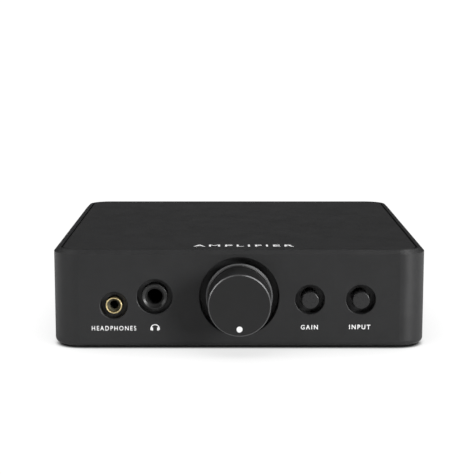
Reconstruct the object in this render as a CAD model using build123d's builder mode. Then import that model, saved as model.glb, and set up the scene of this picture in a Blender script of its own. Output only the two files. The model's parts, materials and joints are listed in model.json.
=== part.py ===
from build123d import *
import os

os.makedirs("parts", exist_ok=True)

# Desk-top headphone amplifier. Millimetres, +Z up, the front faces -Y.
# The origin is at the middle of the base of the whole object's bounding box.

# ------------------------------------------------------------------ enclosure
CASE_W = 152.4            # 6 inch square case
CASE_D = 152.4
TOTAL_H = 40.6            # floor to top, feet included
FOOT_OUT = 1.0            # feet stand this far below the case
CORNER_R = 11.0
WALL = 2.85
FLOOR_T = 2.2
TOP_CHAMFER = 1.55
BOTTOM_ROUND = 2.0
SEAM = 0.8                # width of the seam around the top cover
COVER_SINK = 0.03         # the cover lies this far below the rim
COVER_T = 1.8

KNOB_OUT = 17.9           # knob face in front of the front face
REAR_OUT = 9.0            # sockets behind the rear face
CASE_YC = (KNOB_OUT - REAR_OUT) / 2
FRONT = CASE_YC - CASE_D / 2
REAR = CASE_YC + CASE_D / 2
CASE_Z0 = FOOT_OUT
FLOOR_TOP = CASE_Z0 + FLOOR_T
COVER_Z0 = TOTAL_H - COVER_T
HX = CASE_W / 2
HY = CASE_D / 2

# ------------------------------------------------------------ front controls
KNOB_X, KNOB_Z = 0.0, TOTAL_H - 19.03
GAIN_X, INPUT_X = 28.75, 49.45
BUTTON_Z = TOTAL_H - 20.23
LARGE_X, LARGE_Z = -34.4, TOTAL_H - 19.06
SMALL_X, SMALL_Z = -51.0, TOTAL_H - 22.68

KNOB_R = 12.45
KNOB_FLANGE_R = 13.6
KNOB_WELL_R, KNOB_WELL_DEPTH = 16.1, 6.5
BUTTON_R = 3.45
BUTTON_OUT = 1.95
BUTTON_TRAVEL = 2.5
BUTTON_WELL_R, BUTTON_WELL_DEPTH, BUTTON_HOLE_R = 5.95, 4.6, 4.15
LARGE_NOSE_R, LARGE_WELL_R, LARGE_BORE_R = 5.2, 7.2, 3.25
SMALL_RING_R, SMALL_WELL_R, SMALL_BORE_R = 3.3, 5.55, 1.8
LARGE_MOUTH, LARGE_MOUTH_DEPTH = 0.65, 1.5   # lead-in cone of the large jack
SMALL_MOUTH = 0.6                            # lead-in cone of the small jacks
JACK_WELL_DEPTH = 3.4
WELL_FLOOR = 2.0

# --------------------------------------------------------------------- board
BOARD_Z0, BOARD_T = 10.7, 1.6
BOARD_TOP = BOARD_Z0 + BOARD_T
BOARD_HX = 61.5
BOARD_Y0, BOARD_Y1 = -62.5, 72.0
STANDOFFS = [(-57, -44), (57, -44), (-57, 50), (57, 50), (0, 6)]

# ---------------------------------------------------------------------- rear
PANEL_T = 1.6
PANEL_HX, PANEL_Z0, PANEL_Z1 = 64.0, 4.8, 36.8
POWER_X, POWER_Z = 47.0, BOARD_TOP + 6.5
LINE_X, LINE_Z = 29.0, BOARD_TOP + 5.5
RCA_Z = BOARD_TOP + 9.0
RCA_IN_X, RCA_OUT_X, RCA_PITCH = 2.0, -34.0, 14.0
RCA_R = 4.15
RCA_SCREW_Z = RCA_Z + 6.5
RCA_XS = [RCA_IN_X + 7, RCA_IN_X - 7, RCA_OUT_X + 7, RCA_OUT_X - 7]
PANEL_SCREWS = [(-61, 8.4), (61, 8.4), (-61, 33.2), (61, 33.2)]

# --------------------------------------------------------------------- screws
TOWER_XY = [(sx * 66.5, CASE_YC + sy * 66.5) for sx in (-1, 1) for sy in (-1, 1)]
TOWER_TOP, TOWER_SEAT = 24.0, 18.0
FOOT_XY = [(sx * 55.0, CASE_YC + sy * 55.0) for sx in (-1, 1) for sy in (-1, 1)]
FOOT_R = 6.0
SHANK_R = 1.45


def front(x, z, y):
    """Plane facing -Y: sketch x is +X and sketch y is +Z."""
    return Plane(origin=(x, y, z), x_dir=(1, 0, 0), z_dir=(0, -1, 0))


def rear(x, z, y):
    """Plane facing +Y: sketch x is -X and sketch y is +Z."""
    return Plane(origin=(x, y, z), x_dir=(-1, 0, 0), z_dir=(0, 1, 0))


# ------------------------------------------------------------------ main case
# A tub with floor, front and side walls, round wells behind the front face,
# screw towers, board standoffs and an opening in the rear wall.
with BuildPart() as main_case:
    with BuildSketch(Plane.XY.offset(CASE_Z0)):
        with Locations((0, CASE_YC)):
            RectangleRounded(CASE_W, CASE_D, CORNER_R)
    extrude(amount=TOTAL_H - CASE_Z0)
    fillet(main_case.faces().sort_by(Axis.Z)[0].edges(), BOTTOM_ROUND)
    chamfer(main_case.faces().sort_by(Axis.Z)[-1].edges(), TOP_CHAMFER)
    # the inside of the tub
    with BuildSketch(Plane.XY.offset(FLOOR_TOP)):
        with Locations((0, CASE_YC)):
            RectangleRounded(CASE_W - 2 * WALL, CASE_D - 2 * WALL, CORNER_R - WALL)
    extrude(amount=TOTAL_H, mode=Mode.SUBTRACT)
    chamfer(
        main_case.faces().sort_by(Axis.Z)[-1].inner_wires().edges(),
        0.1,
    )
    # cup of the knob well, flat on top where it passes under the cover
    with BuildSketch(front(KNOB_X, KNOB_Z, FRONT + 1.0)):
        Circle(KNOB_WELL_R + 2.0)
        with Locations((0, -5.0)):
            Rectangle(60, 2 * (COVER_Z0 - 0.1 - KNOB_Z + 5.0), mode=Mode.INTERSECT)
    extrude(amount=-(KNOB_WELL_DEPTH + WELL_FLOOR - 1.0))
    # cups of the button wells
    for x in (GAIN_X, INPUT_X):
        with BuildSketch(front(x, BUTTON_Z, FRONT + 1.0)):
            Circle(BUTTON_WELL_R + 1.8)
        extrude(amount=-(BUTTON_WELL_DEPTH + WELL_FLOOR - 1.0))
    # cups of the two jack wells
    with BuildSketch(front(LARGE_X, LARGE_Z, FRONT + 1.0)):
        Circle(LARGE_WELL_R + 1.6)
    extrude(amount=-(JACK_WELL_DEPTH + WELL_FLOOR - 1.0))
    with BuildSketch(front(SMALL_X, SMALL_Z, FRONT + 1.0)):
        Circle(SMALL_WELL_R + 1.6)
    extrude(amount=-(JACK_WELL_DEPTH + WELL_FLOOR - 1.0))
    # the wells themselves
    with BuildSketch(front(KNOB_X, KNOB_Z, FRONT)):
        Circle(KNOB_WELL_R)
    extrude(amount=-KNOB_WELL_DEPTH, mode=Mode.SUBTRACT)
    with BuildSketch(front(0, BUTTON_Z, FRONT)):
        with Locations((GAIN_X, 0), (INPUT_X, 0)):
            Circle(BUTTON_WELL_R)
    extrude(amount=-BUTTON_WELL_DEPTH, mode=Mode.SUBTRACT)
    with BuildSketch(front(0, 0, FRONT)):
        with Locations((LARGE_X, LARGE_Z)):
            Circle(LARGE_WELL_R)
        with Locations((SMALL_X, SMALL_Z)):
            Circle(SMALL_WELL_R)
    extrude(amount=-JACK_WELL_DEPTH, mode=Mode.SUBTRACT)
    # rounded mouths of the wells
    fillet(
        main_case.edges()
        .filter_by(GeomType.CIRCLE)
        .filter_by_position(Axis.Y, FRONT - 0.01, FRONT + 0.01),
        0.4,
    )
    # holes through the floors of the wells
    with BuildSketch(front(0, 0, FRONT)):
        with Locations((KNOB_X, KNOB_Z)):
            Circle(3.9)
        with Locations((GAIN_X, BUTTON_Z), (INPUT_X, BUTTON_Z)):
            Circle(BUTTON_HOLE_R)
        with Locations((LARGE_X, LARGE_Z)):
            Circle(LARGE_NOSE_R + 0.3)
        with Locations((SMALL_X, SMALL_Z)):
            Circle(SMALL_RING_R + 0.3)
    extrude(amount=-12, mode=Mode.SUBTRACT)
    # towers for the cover screws, tied to the walls by ribs
    with BuildSketch(Plane.XY.offset(FLOOR_TOP - 0.5)):
        with Locations(*TOWER_XY):
            Circle(4.2)
        for sx in (-1, 1):
            for sy in (-1, 1):
                with Locations((sx * 71.2, CASE_YC + sy * 66.5)):
                    Rectangle(4.9, 1.6)
                with Locations((sx * 66.5, CASE_YC + sy * 71.2)):
                    Rectangle(1.6, 4.9)
    extrude(amount=TOWER_TOP - FLOOR_TOP + 0.5)
    with BuildSketch(Plane.XY.offset(0)):
        with Locations(*TOWER_XY):
            Circle(3.1)
    extrude(amount=TOWER_SEAT, mode=Mode.SUBTRACT)
    with BuildSketch(Plane.XY.offset(TOWER_SEAT - 1)):
        with Locations(*TOWER_XY):
            Circle(1.75)
    extrude(amount=TOWER_TOP - TOWER_SEAT + 2, mode=Mode.SUBTRACT)
    # standoffs for the board
    with BuildSketch(Plane.XY.offset(FLOOR_TOP - 0.5)):
        with Locations(*STANDOFFS):
            Circle(3.4)
    extrude(amount=BOARD_Z0 - FLOOR_TOP + 0.5)
    with BuildSketch(Plane.XY.offset(BOARD_Z0 - 6.5)):
        with Locations(*STANDOFFS):
            Circle(SHANK_R + 0.05)
    extrude(amount=7, mode=Mode.SUBTRACT)
    # stiffening ribs on the floor
    with BuildSketch(Plane.XY.offset(FLOOR_TOP - 0.5)):
        for y in (-36, -10, 22, 44):
            with Locations((0, y)):
                Rectangle(100, 1.4)
        for x in (-50, 50):
            with Locations((x, 4)):
                Rectangle(1.4, 82)
    extrude(amount=3.0)
    # seats of the feet
    with BuildSketch(Plane.XY.offset(0)):
        with Locations(*FOOT_XY):
            Circle(FOOT_R + 0.15)
    extrude(amount=CASE_Z0 + 0.8, mode=Mode.SUBTRACT)
    # bosses behind the rear ledge, rear rebate and rear opening
    for x, z in PANEL_SCREWS:
        with BuildSketch(rear(x, z, REAR - 6.6)):
            Circle(2.8)
        extrude(amount=5.0)
    with BuildSketch(rear(0, (PANEL_Z0 + PANEL_Z1) / 2, REAR)):
        RectangleRounded(2 * PANEL_HX + 0.3, PANEL_Z1 - PANEL_Z0 + 0.3, 1.65)
    extrude(amount=-PANEL_T, mode=Mode.SUBTRACT)
    with BuildSketch(rear(0, 20.8, REAR)):
        RectangleRounded(116, 27.0, 2)
    extrude(amount=-(WALL + 0.5), mode=Mode.SUBTRACT)
    for x, z in PANEL_SCREWS:
        with BuildSketch(rear(x, z, REAR)):
            Circle(1.25)
        extrude(amount=-6.2, mode=Mode.SUBTRACT)
main_case.part.label = "main_case"
export_step(main_case.part, "parts/main_case.step")

# ------------------------------------------------------------------ top cover
# Plate lying flush in the tub's rim, a wider flange under its edge closing the
# seam, locating ribs and four screw bosses underneath.
FLANGE_IN = WALL + 0.1
PLATE_IN = WALL + SEAM
with BuildPart() as top_cover:
    with BuildSketch(Plane.XY.offset(COVER_Z0)):
        with Locations((0, CASE_YC)):
            RectangleRounded(CASE_W - 2 * PLATE_IN, CASE_D - 2 * PLATE_IN, CORNER_R - PLATE_IN)
    extrude(amount=COVER_T - COVER_SINK)
    chamfer(top_cover.faces().sort_by(Axis.Z)[-1].edges(), 0.08)
    with BuildSketch(Plane.XY.offset(COVER_Z0)):
        with Locations((0, CASE_YC)):
            RectangleRounded(CASE_W - 2 * FLANGE_IN, CASE_D - 2 * FLANGE_IN, CORNER_R - FLANGE_IN)
    extrude(amount=0.7)
    # locating ribs just inside the walls
    with BuildSketch(Plane.XY.offset(COVER_Z0 - 3.0)):
        for sx in (-1, 1):
            with Locations((sx * (HX - WALL - 1.0), CASE_YC)):
                Rectangle(1.2, 100)
            with Locations((sx * 40, FRONT + WALL + 1.0)):
                Rectangle(32, 1.2)
        with Locations((0, REAR - WALL - 1.0)):
            Rectangle(96, 1.2)
    extrude(amount=3.2)
    # screw bosses standing on the towers
    with BuildSketch(Plane.XY.offset(TOWER_TOP)):
        with Locations(*TOWER_XY):
            Circle(3.6)
    extrude(amount=COVER_Z0 - TOWER_TOP + 0.2)
    with BuildSketch(Plane.XY.offset(TOWER_TOP - 0.5)):
        with Locations(*TOWER_XY):
            Circle(SHANK_R + 0.05)
    extrude(amount=12.5, mode=Mode.SUBTRACT)
    # ribs under the plate
    with BuildSketch(Plane.XY.offset(COVER_Z0 - 1.0)):
        for x in (-30, 30):
            with Locations((x, CASE_YC + 4)):
                Rectangle(1.2, 110)
    extrude(amount=1.2)
top_cover.part.label = "top_cover"
export_step(top_cover.part, "parts/top_cover.step")

# ----------------------------------------------------------------- rear panel
with BuildPart() as rear_panel:
    with BuildSketch(rear(0, (PANEL_Z0 + PANEL_Z1) / 2, REAR - PANEL_T)):
        RectangleRounded(2 * PANEL_HX, PANEL_Z1 - PANEL_Z0, 1.5)
    extrude(amount=PANEL_T)
    chamfer(rear_panel.faces().sort_by(Axis.Y)[-1].edges(), 0.2)
    with BuildSketch(rear(0, 0, REAR)):
        for x in RCA_XS:
            with Locations((-x, RCA_Z)):
                Circle(5.3)
        for x in (RCA_IN_X, RCA_OUT_X):
            with Locations((-x, RCA_SCREW_Z)):
                Circle(1.4)
        with Locations((-LINE_X, LINE_Z)):
            Circle(3.8)
        with Locations((-POWER_X, BOARD_TOP + 5.6)):
            RectangleRounded(9.7, 11.7, 0.6)
        for x, z in PANEL_SCREWS:
            with Locations((-x, z)):
                Circle(1.4)
    extrude(amount=-PANEL_T, mode=Mode.SUBTRACT)
rear_panel.part.label = "rear_panel"
export_step(rear_panel.part, "parts/rear_panel.step")

# ---------------------------------------------------------------- rubber feet
with BuildPart() as rubber_feet:
    with BuildSketch(Plane.XY):
        with Locations(*FOOT_XY):
            Circle(FOOT_R)
    extrude(amount=CASE_Z0 + 0.8)
    chamfer(
        rubber_feet.edges().filter_by(GeomType.CIRCLE).filter_by_position(Axis.Z, -0.01, 0.01),
        0.3,
    )
rubber_feet.part.label = "rubber_feet"
export_step(rubber_feet.part, "parts/rubber_feet.step")

# --------------------------------------------------------------- cover screws
# Pan heads deep in the towers, entered from below, cross recess in each head.
with BuildPart() as cover_screws:
    with BuildSketch(Plane.XY.offset(TOWER_SEAT - 2.1)):
        with Locations(*TOWER_XY):
            Circle(2.75)
    extrude(amount=2.1)
    fillet(
        cover_screws.edges()
        .filter_by(GeomType.CIRCLE)
        .filter_by_position(Axis.Z, TOWER_SEAT - 2.11, TOWER_SEAT - 2.09),
        0.8,
    )
    with BuildSketch(Plane.XY.offset(TOWER_SEAT - 2.1)):
        with Locations(*TOWER_XY):
            Rectangle(2.6, 0.6)
            Rectangle(0.6, 2.6)
    extrude(amount=1.2, mode=Mode.SUBTRACT)
    with BuildSketch(Plane.XY.offset(TOWER_SEAT - 0.3)):
        with Locations(*TOWER_XY):
            Circle(SHANK_R)
    extrude(amount=16.3)
cover_screws.part.label = "cover_screws"
export_step(cover_screws.part, "parts/cover_screws.step")

# ---------------------------------------------------------- rear panel screws
with BuildPart() as rear_panel_screws:
    with BuildSketch(rear(0, 0, REAR)):
        for x, z in PANEL_SCREWS:
            with Locations((-x, z)):
                Circle(2.3)
    extrude(amount=1.4)
    fillet(
        rear_panel_screws.edges()
        .filter_by(GeomType.CIRCLE)
        .filter_by_position(Axis.Y, REAR + 1.39, REAR + 1.41),
        0.6,
    )
    with BuildSketch(rear(0, 0, REAR + 1.4)):
        for x, z in PANEL_SCREWS:
            with Locations((-x, z)):
                Rectangle(2.4, 0.55)
                Rectangle(0.55, 2.4)
    extrude(amount=-0.9, mode=Mode.SUBTRACT)
    with BuildSketch(rear(0, 0, REAR + 0.2)):
        for x, z in PANEL_SCREWS:
            with Locations((-x, z)):
                Circle(1.2)
    extrude(amount=-6.1)
rear_panel_screws.part.label = "rear_panel_screws"
export_step(rear_panel_screws.part, "parts/rear_panel_screws.step")

# ----------------------------------------------------------------- main board
with BuildPart() as main_board:
    with BuildSketch(Plane.XY.offset(BOARD_Z0)):
        with Locations((0, (BOARD_Y0 + BOARD_Y1) / 2)):
            RectangleRounded(2 * BOARD_HX, BOARD_Y1 - BOARD_Y0, 1.5)
        with Locations(*STANDOFFS):
            Circle(1.7, mode=Mode.SUBTRACT)
    extrude(amount=BOARD_T)
main_board.part.label = "main_board"
export_step(main_board.part, "parts/main_board.step")

# --------------------------------------------------------------- board screws
with BuildPart() as board_screws:
    with BuildSketch(Plane.XY.offset(BOARD_TOP)):
        with Locations(*STANDOFFS):
            Circle(2.75)
    extrude(amount=1.9)
    fillet(
        board_screws.edges()
        .filter_by(GeomType.CIRCLE)
        .filter_by_position(Axis.Z, BOARD_TOP + 1.89, BOARD_TOP + 1.91),
        0.8,
    )
    with BuildSketch(Plane.XY.offset(BOARD_TOP + 1.9)):
        with Locations(*STANDOFFS):
            Rectangle(2.6, 0.6)
            Rectangle(0.6, 2.6)
    extrude(amount=-1.1, mode=Mode.SUBTRACT)
    with BuildSketch(Plane.XY.offset(BOARD_TOP + 0.2)):
        with Locations(*STANDOFFS):
            Circle(SHANK_R)
    extrude(amount=-7.8)
board_screws.part.label = "board_screws"
export_step(board_screws.part, "parts/board_screws.step")

# ---------------------------------------------------------------- volume knob
KNOB_FACE = FRONT - KNOB_OUT
KNOB_BACK = FRONT + 4.2
SHAFT_R = 3.0
SHAFT_TIP = KNOB_FACE + 3.6
D_FLAT = 1.6
with BuildPart() as volume_knob:
    with BuildSketch(front(KNOB_X, KNOB_Z, KNOB_BACK)):
        Circle(KNOB_R)
    extrude(amount=KNOB_BACK - KNOB_FACE)
    chamfer(
        volume_knob.edges()
        .filter_by(GeomType.CIRCLE)
        .filter_by_position(Axis.Y, KNOB_FACE - 0.01, KNOB_FACE + 0.01),
        0.4,
    )
    with BuildSketch(front(KNOB_X, KNOB_Z, FRONT + 1.2)):
        Circle(KNOB_FLANGE_R)
    extrude(amount=1.9)
    chamfer(
        volume_knob.edges()
        .filter_by(GeomType.CIRCLE)
        .filter_by_position(Axis.Y, FRONT - 0.71, FRONT - 0.69)
        .sort_by(SortBy.RADIUS)[-1],
        0.95,
    )
    # hollow back around the hub
    with BuildSketch(front(KNOB_X, KNOB_Z, KNOB_BACK)):
        Circle(10.9)
        Circle(4.8, mode=Mode.SUBTRACT)
    extrude(amount=14.0, mode=Mode.SUBTRACT)
    # D-shaped socket for the shaft
    with BuildSketch(front(KNOB_X, KNOB_Z, KNOB_BACK)):
        Circle(SHAFT_R + 0.04)
        with Locations((0, D_FLAT + 0.04 + 2.5)):
            Rectangle(10, 5.0, mode=Mode.SUBTRACT)
    extrude(amount=KNOB_BACK - SHAFT_TIP + 0.2, mode=Mode.SUBTRACT)
    # seat of the pointer dot, at six o'clock
    with BuildSketch(front(KNOB_X, KNOB_Z - 9.5, KNOB_FACE)):
        Circle(1.2)
    extrude(amount=-0.5, mode=Mode.SUBTRACT)
volume_knob.part.label = "volume_knob"
export_step(volume_knob.part, "parts/volume_knob.step")

with BuildPart() as knob_pointer:
    with BuildSketch(front(KNOB_X, KNOB_Z - 9.5, KNOB_FACE + 0.5)):
        Circle(1.2)
    extrude(amount=0.5)
knob_pointer.part.label = "knob_pointer"
export_step(knob_pointer.part, "parts/knob_pointer.step")

# -------------------------------------------------------------- potentiometer
POT_Y0, POT_Y1, POT_R = -62.8, -51.8, 8.4
with BuildPart() as pot_housing:
    with BuildSketch(front(KNOB_X, KNOB_Z, POT_Y1)):
        Circle(POT_R)
    extrude(amount=POT_Y1 - POT_Y0)
    with BuildSketch(front(KNOB_X, (BOARD_TOP + 30.0) / 2, POT_Y0 + 1.0)):
        RectangleRounded(17.0, 30.0 - BOARD_TOP, 0.8)
    extrude(amount=1.0)
    with BuildSketch(front(KNOB_X, KNOB_Z, POT_Y1 - 1.2)):
        Circle(7.2)
    extrude(amount=8.0, mode=Mode.SUBTRACT)
    with BuildSketch(front(KNOB_X, KNOB_Z, POT_Y1 - 2.0)):
        Circle(SHAFT_R + 0.05)
    extrude(amount=12.0, mode=Mode.SUBTRACT)
pot_housing.part.label = "pot_housing"
export_step(pot_housing.part, "parts/pot_housing.step")

with BuildPart() as pot_bushing:
    with BuildSketch(front(KNOB_X, KNOB_Z, POT_Y0)):
        Circle(3.5)
        Circle(SHAFT_R + 0.05, mode=Mode.SUBTRACT)
    extrude(amount=4.0)
    chamfer(
        pot_bushing.edges().filter_by_position(Axis.Y, POT_Y0 - 4.01, POT_Y0 - 3.99).sort_by(SortBy.RADIUS)[-1],
        0.2,
    )
pot_bushing.part.label = "pot_bushing"
export_step(pot_bushing.part, "parts/pot_bushing.step")

with BuildPart() as pot_shaft:
    with BuildSketch(front(KNOB_X, KNOB_Z, POT_Y1 - 2.4)):
        Circle(SHAFT_R)
    extrude(amount=(POT_Y1 - 2.4) - SHAFT_TIP)
    chamfer(pot_shaft.faces().sort_by(Axis.Y)[0].edges(), 0.3)
    # the flat of the D, on the length that sits in the knob
    with BuildSketch(front(KNOB_X, KNOB_Z, KNOB_BACK + 0.3)):
        with Locations((0, D_FLAT + 2.5)):
            Rectangle(10, 5.0)
    extrude(amount=25, mode=Mode.SUBTRACT)
pot_shaft.part.label = "pot_shaft"
export_step(pot_shaft.part, "parts/pot_shaft.step")

with BuildPart() as pot_wiper:
    with BuildSketch(front(KNOB_X, KNOB_Z, POT_Y1 - 4.6)):
        Circle(6.4)
        Circle(SHAFT_R + 0.02, mode=Mode.SUBTRACT)
    extrude(amount=1.6)
    with BuildSketch(front(KNOB_X, KNOB_Z, POT_Y1 - 4.0)):
        with Locations((0, 5.2)):
            Rectangle(3.0, 1.4)
    extrude(amount=1.0)
pot_wiper.part.label = "pot_wiper"
export_step(pot_wiper.part, "parts/pot_wiper.step")

with BuildPart() as pot_element:
    with BuildSketch(front(KNOB_X, KNOB_Z, POT_Y1 - 1.2)):
        Circle(7.0)
        Circle(3.4, mode=Mode.SUBTRACT)
    extrude(amount=1.4)
pot_element.part.label = "pot_element"
export_step(pot_element.part, "parts/pot_element.step")

with BuildPart() as power_switch:
    with BuildSketch(front(KNOB_X, KNOB_Z, POT_Y1 + 7.2)):
        Circle(8.0)
    extrude(amount=7.2)
    fillet(power_switch.faces().sort_by(Axis.Y)[-1].edges(), 0.6)
    with BuildSketch(Plane.XY.offset(BOARD_TOP)):
        with Locations((0, POT_Y1 + 3.6)):
            Rectangle(9.0, 5.0)
    extrude(amount=3.0)
power_switch.part.label = "power_switch"
export_step(power_switch.part, "parts/power_switch.step")

# --------------------------------------------------- push buttons and switches
BUTTON_FACE = FRONT - BUTTON_OUT
BUTTON_BACK = FRONT + BUTTON_WELL_DEPTH + WELL_FLOOR + 1.35
SWITCH_Y0, SWITCH_Y1 = -60.0, -46.0
STEM = 3.0

with BuildPart() as gain_button:
    with BuildSketch(front(GAIN_X, BUTTON_Z, BUTTON_BACK)):
        Circle(BUTTON_R)
    extrude(amount=BUTTON_BACK - BUTTON_FACE)
    fillet(
        gain_button.edges()
        .filter_by(GeomType.CIRCLE)
        .filter_by_position(Axis.Y, BUTTON_FACE - 0.01, BUTTON_FACE + 0.01),
        0.35,
    )
    with BuildSketch(front(GAIN_X, BUTTON_Z, BUTTON_BACK)):
        Circle(5.2)
    extrude(amount=1.0)
    with BuildSketch(front(GAIN_X, BUTTON_Z, BUTTON_BACK)):
        Rectangle(STEM + 0.08, STEM + 0.08)
    extrude(amount=4.0, mode=Mode.SUBTRACT)
gain_button.part.label = "gain_button"
export_step(gain_button.part, "parts/gain_button.step")

with BuildPart() as input_button:
    with BuildSketch(front(INPUT_X, BUTTON_Z, BUTTON_BACK)):
        Circle(BUTTON_R)
    extrude(amount=BUTTON_BACK - BUTTON_FACE)
    fillet(
        input_button.edges()
        .filter_by(GeomType.CIRCLE)
        .filter_by_position(Axis.Y, BUTTON_FACE - 0.01, BUTTON_FACE + 0.01),
        0.35,
    )
    with BuildSketch(front(INPUT_X, BUTTON_Z, BUTTON_BACK)):
        Circle(5.2)
    extrude(amount=1.0)
    with BuildSketch(front(INPUT_X, BUTTON_Z, BUTTON_BACK)):
        Rectangle(STEM + 0.08, STEM + 0.08)
    extrude(amount=4.0, mode=Mode.SUBTRACT)
input_button.part.label = "input_button"
export_step(input_button.part, "parts/input_button.step")

with BuildPart() as gain_plunger:
    with BuildSketch(front(GAIN_X, BUTTON_Z, SWITCH_Y0 + 7.5)):
        Rectangle(STEM, STEM)
    extrude(amount=(SWITCH_Y0 + 7.5) - (BUTTON_BACK - 3.9))
gain_plunger.part.label = "gain_plunger"
export_step(gain_plunger.part, "parts/gain_plunger.step")

with BuildPart() as input_plunger:
    with BuildSketch(front(INPUT_X, BUTTON_Z, SWITCH_Y0 + 7.5)):
        Rectangle(STEM, STEM)
    extrude(amount=(SWITCH_Y0 + 7.5) - (BUTTON_BACK - 3.9))
input_plunger.part.label = "input_plunger"
export_step(input_plunger.part, "parts/input_plunger.step")

with BuildPart() as gain_switch:
    with BuildSketch(Plane.XY.offset(BOARD_TOP)):
        with Locations((GAIN_X, (SWITCH_Y0 + SWITCH_Y1) / 2)):
            Rectangle(8.6, SWITCH_Y1 - SWITCH_Y0)
    extrude(amount=12.2)
    chamfer(gain_switch.edges().filter_by(Axis.Y).group_by(Axis.Z)[-1], 0.5)
    with BuildSketch(front(GAIN_X, BUTTON_Z, SWITCH_Y0)):
        Rectangle(STEM + 0.5, STEM + 0.5)
    extrude(amount=-11.5, mode=Mode.SUBTRACT)
gain_switch.part.label = "gain_switch"
export_step(gain_switch.part, "parts/gain_switch.step")

with BuildPart() as input_switch:
    with BuildSketch(Plane.XY.offset(BOARD_TOP)):
        with Locations((INPUT_X, (SWITCH_Y0 + SWITCH_Y1) / 2)):
            Rectangle(8.6, SWITCH_Y1 - SWITCH_Y0)
    extrude(amount=12.2)
    chamfer(input_switch.edges().filter_by(Axis.Y).group_by(Axis.Z)[-1], 0.5)
    with BuildSketch(front(INPUT_X, BUTTON_Z, SWITCH_Y0)):
        Rectangle(STEM + 0.5, STEM + 0.5)
    extrude(amount=-11.5, mode=Mode.SUBTRACT)
input_switch.part.label = "input_switch"
export_step(input_switch.part, "parts/input_switch.step")

# ------------------------------------------------------- large headphone jack
LARGE_Y0, LARGE_Y1 = -66.2, -38.2
with BuildPart() as large_jack_body:
    with BuildSketch(front(LARGE_X, (BOARD_TOP + 30.2) / 2, LARGE_Y1)):
        RectangleRounded(16.0, 30.2 - BOARD_TOP, 1.0)
    extrude(amount=LARGE_Y1 - LARGE_Y0)
    with BuildSketch(front(LARGE_X, LARGE_Z, LARGE_Y0 + 1)):
        Circle(LARGE_NOSE_R)
    extrude(amount=LARGE_Y0 + 1 - FRONT)
    fillet(
        large_jack_body.edges()
        .filter_by(GeomType.CIRCLE)
        .filter_by_position(Axis.Y, FRONT - 0.01, FRONT + 0.01),
        0.3,
    )
    with BuildSketch(front(LARGE_X, LARGE_Z, FRONT)):
        Circle(LARGE_BORE_R)
    extrude(amount=-31.5, mode=Mode.SUBTRACT)
    chamfer(
        large_jack_body.edges()
        .filter_by(GeomType.CIRCLE)
        .filter_by_position(Axis.Y, FRONT - 0.01, FRONT + 0.01)
        .sort_by(SortBy.RADIUS)[0],
        length=LARGE_MOUTH_DEPTH,
        length2=LARGE_MOUTH,
    )
    # pockets for the contact springs
    for sx in (-1, 1):
        with BuildSketch(front(LARGE_X + sx * 5.7, LARGE_Z, LARGE_Y1)):
            Rectangle(1.2, 6.0)
        extrude(amount=20, mode=Mode.SUBTRACT)
    with BuildSketch(front(LARGE_X, LARGE_Z + 5.7, LARGE_Y1)):
        Rectangle(6.0, 1.2)
    extrude(amount=12, mode=Mode.SUBTRACT)
large_jack_body.part.label = "large_jack_body"
export_step(large_jack_body.part, "parts/large_jack_body.step")

with BuildPart() as large_jack_contacts:
    for sx in (-1, 1):
        with BuildSketch(front(LARGE_X + sx * 5.7, LARGE_Z, LARGE_Y1 + 1.5)):
            Rectangle(0.6, 5.4)
        extrude(amount=21)
    with BuildSketch(front(LARGE_X, LARGE_Z + 5.7, LARGE_Y1 + 1.5)):
        Rectangle(5.4, 0.6)
    extrude(amount=13)
large_jack_contacts.part.label = "large_jack_contacts"
export_step(large_jack_contacts.part, "parts/large_jack_contacts.step")

# ------------------------------------------------------- small headphone jack
SMALL_Y0, SMALL_Y1 = -66.2, -52.4
NOSE_FACE = FRONT + 1.5
RING_LEN = 2.4
with BuildPart() as small_jack_body:
    with BuildSketch(front(SMALL_X, (BOARD_TOP + 23.2) / 2, SMALL_Y1)):
        RectangleRounded(10.0, 23.2 - BOARD_TOP, 0.6)
    extrude(amount=SMALL_Y1 - SMALL_Y0)
    with BuildSketch(front(SMALL_X, SMALL_Z, SMALL_Y0 + 1)):
        Circle(SMALL_RING_R)
    extrude(amount=SMALL_Y0 + 1 - (FRONT + RING_LEN))
    with BuildSketch(front(SMALL_X, SMALL_Z, SMALL_Y0 + 1)):
        Circle(2.8)
    extrude(amount=SMALL_Y0 + 1 - NOSE_FACE)
    with BuildSketch(front(SMALL_X, SMALL_Z, NOSE_FACE)):
        Circle(SMALL_BORE_R)
    extrude(amount=-15.0, mode=Mode.SUBTRACT)
    chamfer(
        small_jack_body.edges()
        .filter_by(GeomType.CIRCLE)
        .filter_by_position(Axis.Y, NOSE_FACE - 0.01, NOSE_FACE + 0.01)
        .sort_by(SortBy.RADIUS)[0],
        SMALL_MOUTH,
    )
    for sx in (-1, 1):
        with BuildSketch(front(SMALL_X + sx * 3.3, SMALL_Z, SMALL_Y1)):
            Rectangle(0.9, 3.4)
        extrude(amount=9, mode=Mode.SUBTRACT)
small_jack_body.part.label = "small_jack_body"
export_step(small_jack_body.part, "parts/small_jack_body.step")

with BuildPart() as small_jack_ring:
    with BuildSketch(front(SMALL_X, SMALL_Z, FRONT + RING_LEN)):
        Circle(SMALL_RING_R)
        Circle(2.83, mode=Mode.SUBTRACT)
    extrude(amount=RING_LEN)
    fillet(small_jack_ring.faces().sort_by(Axis.Y)[0].edges(), 0.12)
small_jack_ring.part.label = "small_jack_ring"
export_step(small_jack_ring.part, "parts/small_jack_ring.step")

with BuildPart() as small_jack_contacts:
    for sx in (-1, 1):
        with BuildSketch(front(SMALL_X + sx * 3.3, SMALL_Z, SMALL_Y1 + 1.2)):
            Rectangle(0.5, 3.0)
        extrude(amount=9.8)
small_jack_contacts.part.label = "small_jack_contacts"
export_step(small_jack_contacts.part, "parts/small_jack_contacts.step")

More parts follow.
